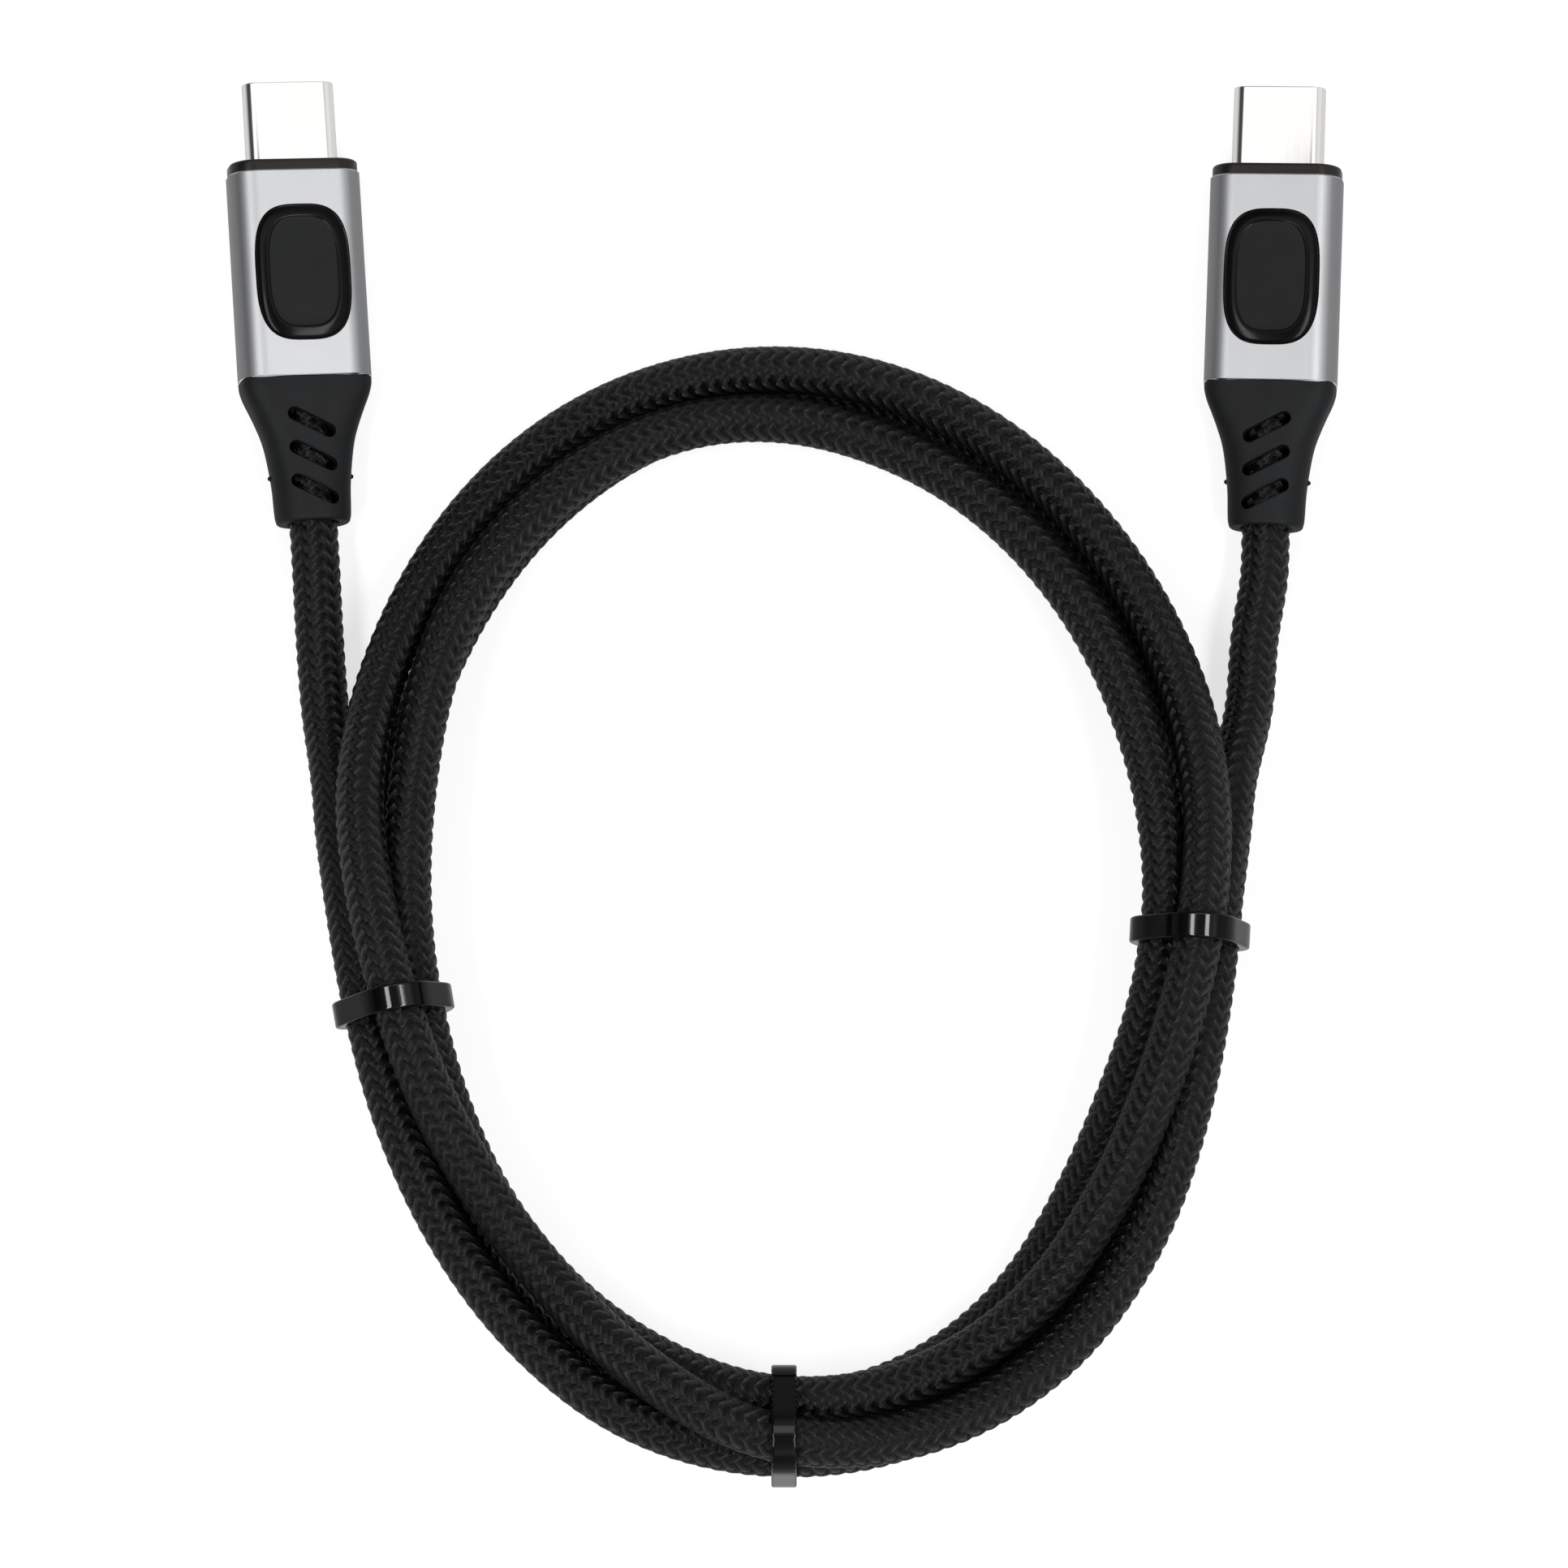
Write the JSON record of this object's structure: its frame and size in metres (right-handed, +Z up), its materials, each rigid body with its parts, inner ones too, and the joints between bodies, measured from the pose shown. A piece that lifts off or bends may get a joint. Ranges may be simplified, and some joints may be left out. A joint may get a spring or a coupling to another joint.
{
  "type": "charging cable",
  "caption": "Braided charging cable with a small metal plug on each end, wound into an oval loop and held by cable ties.",
  "frame": {"origin": "on the surface that the cable lies on, below the middle of its box", "axes": "+Z up from the surface, +Y towards the plug tips, +X to the right seen from above"},
  "size_m": [0.1, 0.126, 0.017],
  "materials": {
    "plug_shell": "bright nickel plate, lightly polished",
    "insulator": "moulded black nylon",
    "contact": "gold plated",
    "spring_steel": "stamped",
    "board": "solder mask",
    "chip": "moulded",
    "power_wire": "extruded insulation",
    "signal_wire": "extruded insulation",
    "crimp": "drawn ferrule",
    "inner_mould": "as moulded",
    "collar": "satin black",
    "sleeve": "bead blasted, anodised silver grey",
    "badge": "glossy rim round a matte flat",
    "boot": "matte, fine moulded texture",
    "cord": "braided nylon yarn",
    "cable_tie": "glossy"
  },
  "bodies": {
    "root": {"left_shell": "plug_shell", "left_insulator": "insulator", "left_upper_contacts": "contact", "left_lower_contacts": "contact", "left_latch_plate": "spring_steel", "left_upper_spring": "spring_steel", "left_lower_spring": "spring_steel", "left_board": "board", "left_marker_chip": "chip", "left_power_wires": "power_wire", "left_signal_wires": "signal_wire", "left_crimp": "crimp", "left_inner_mould": "inner_mould", "left_collar": "collar", "left_sleeve": "sleeve", "left_badge": "badge", "left_boot": "boot", "right_shell": "plug_shell", "right_insulator": "insulator", "right_upper_contacts": "contact", "right_lower_contacts": "contact", "right_latch_plate": "spring_steel", "right_upper_spring": "spring_steel", "right_lower_spring": "spring_steel", "right_board": "board", "right_marker_chip": "chip", "right_power_wires": "power_wire", "right_signal_wires": "signal_wire", "right_crimp": "crimp", "right_inner_mould": "inner_mould", "right_collar": "collar", "right_sleeve": "sleeve", "right_badge": "badge", "right_boot": "boot", "left_cord_end": "cord", "cord_coil": "cord", "right_cord_end": "cord", "left_tie": "cable_tie", "bottom_tie": "cable_tie", "right_tie": "cable_tie"}
  },
  "joints": []
}
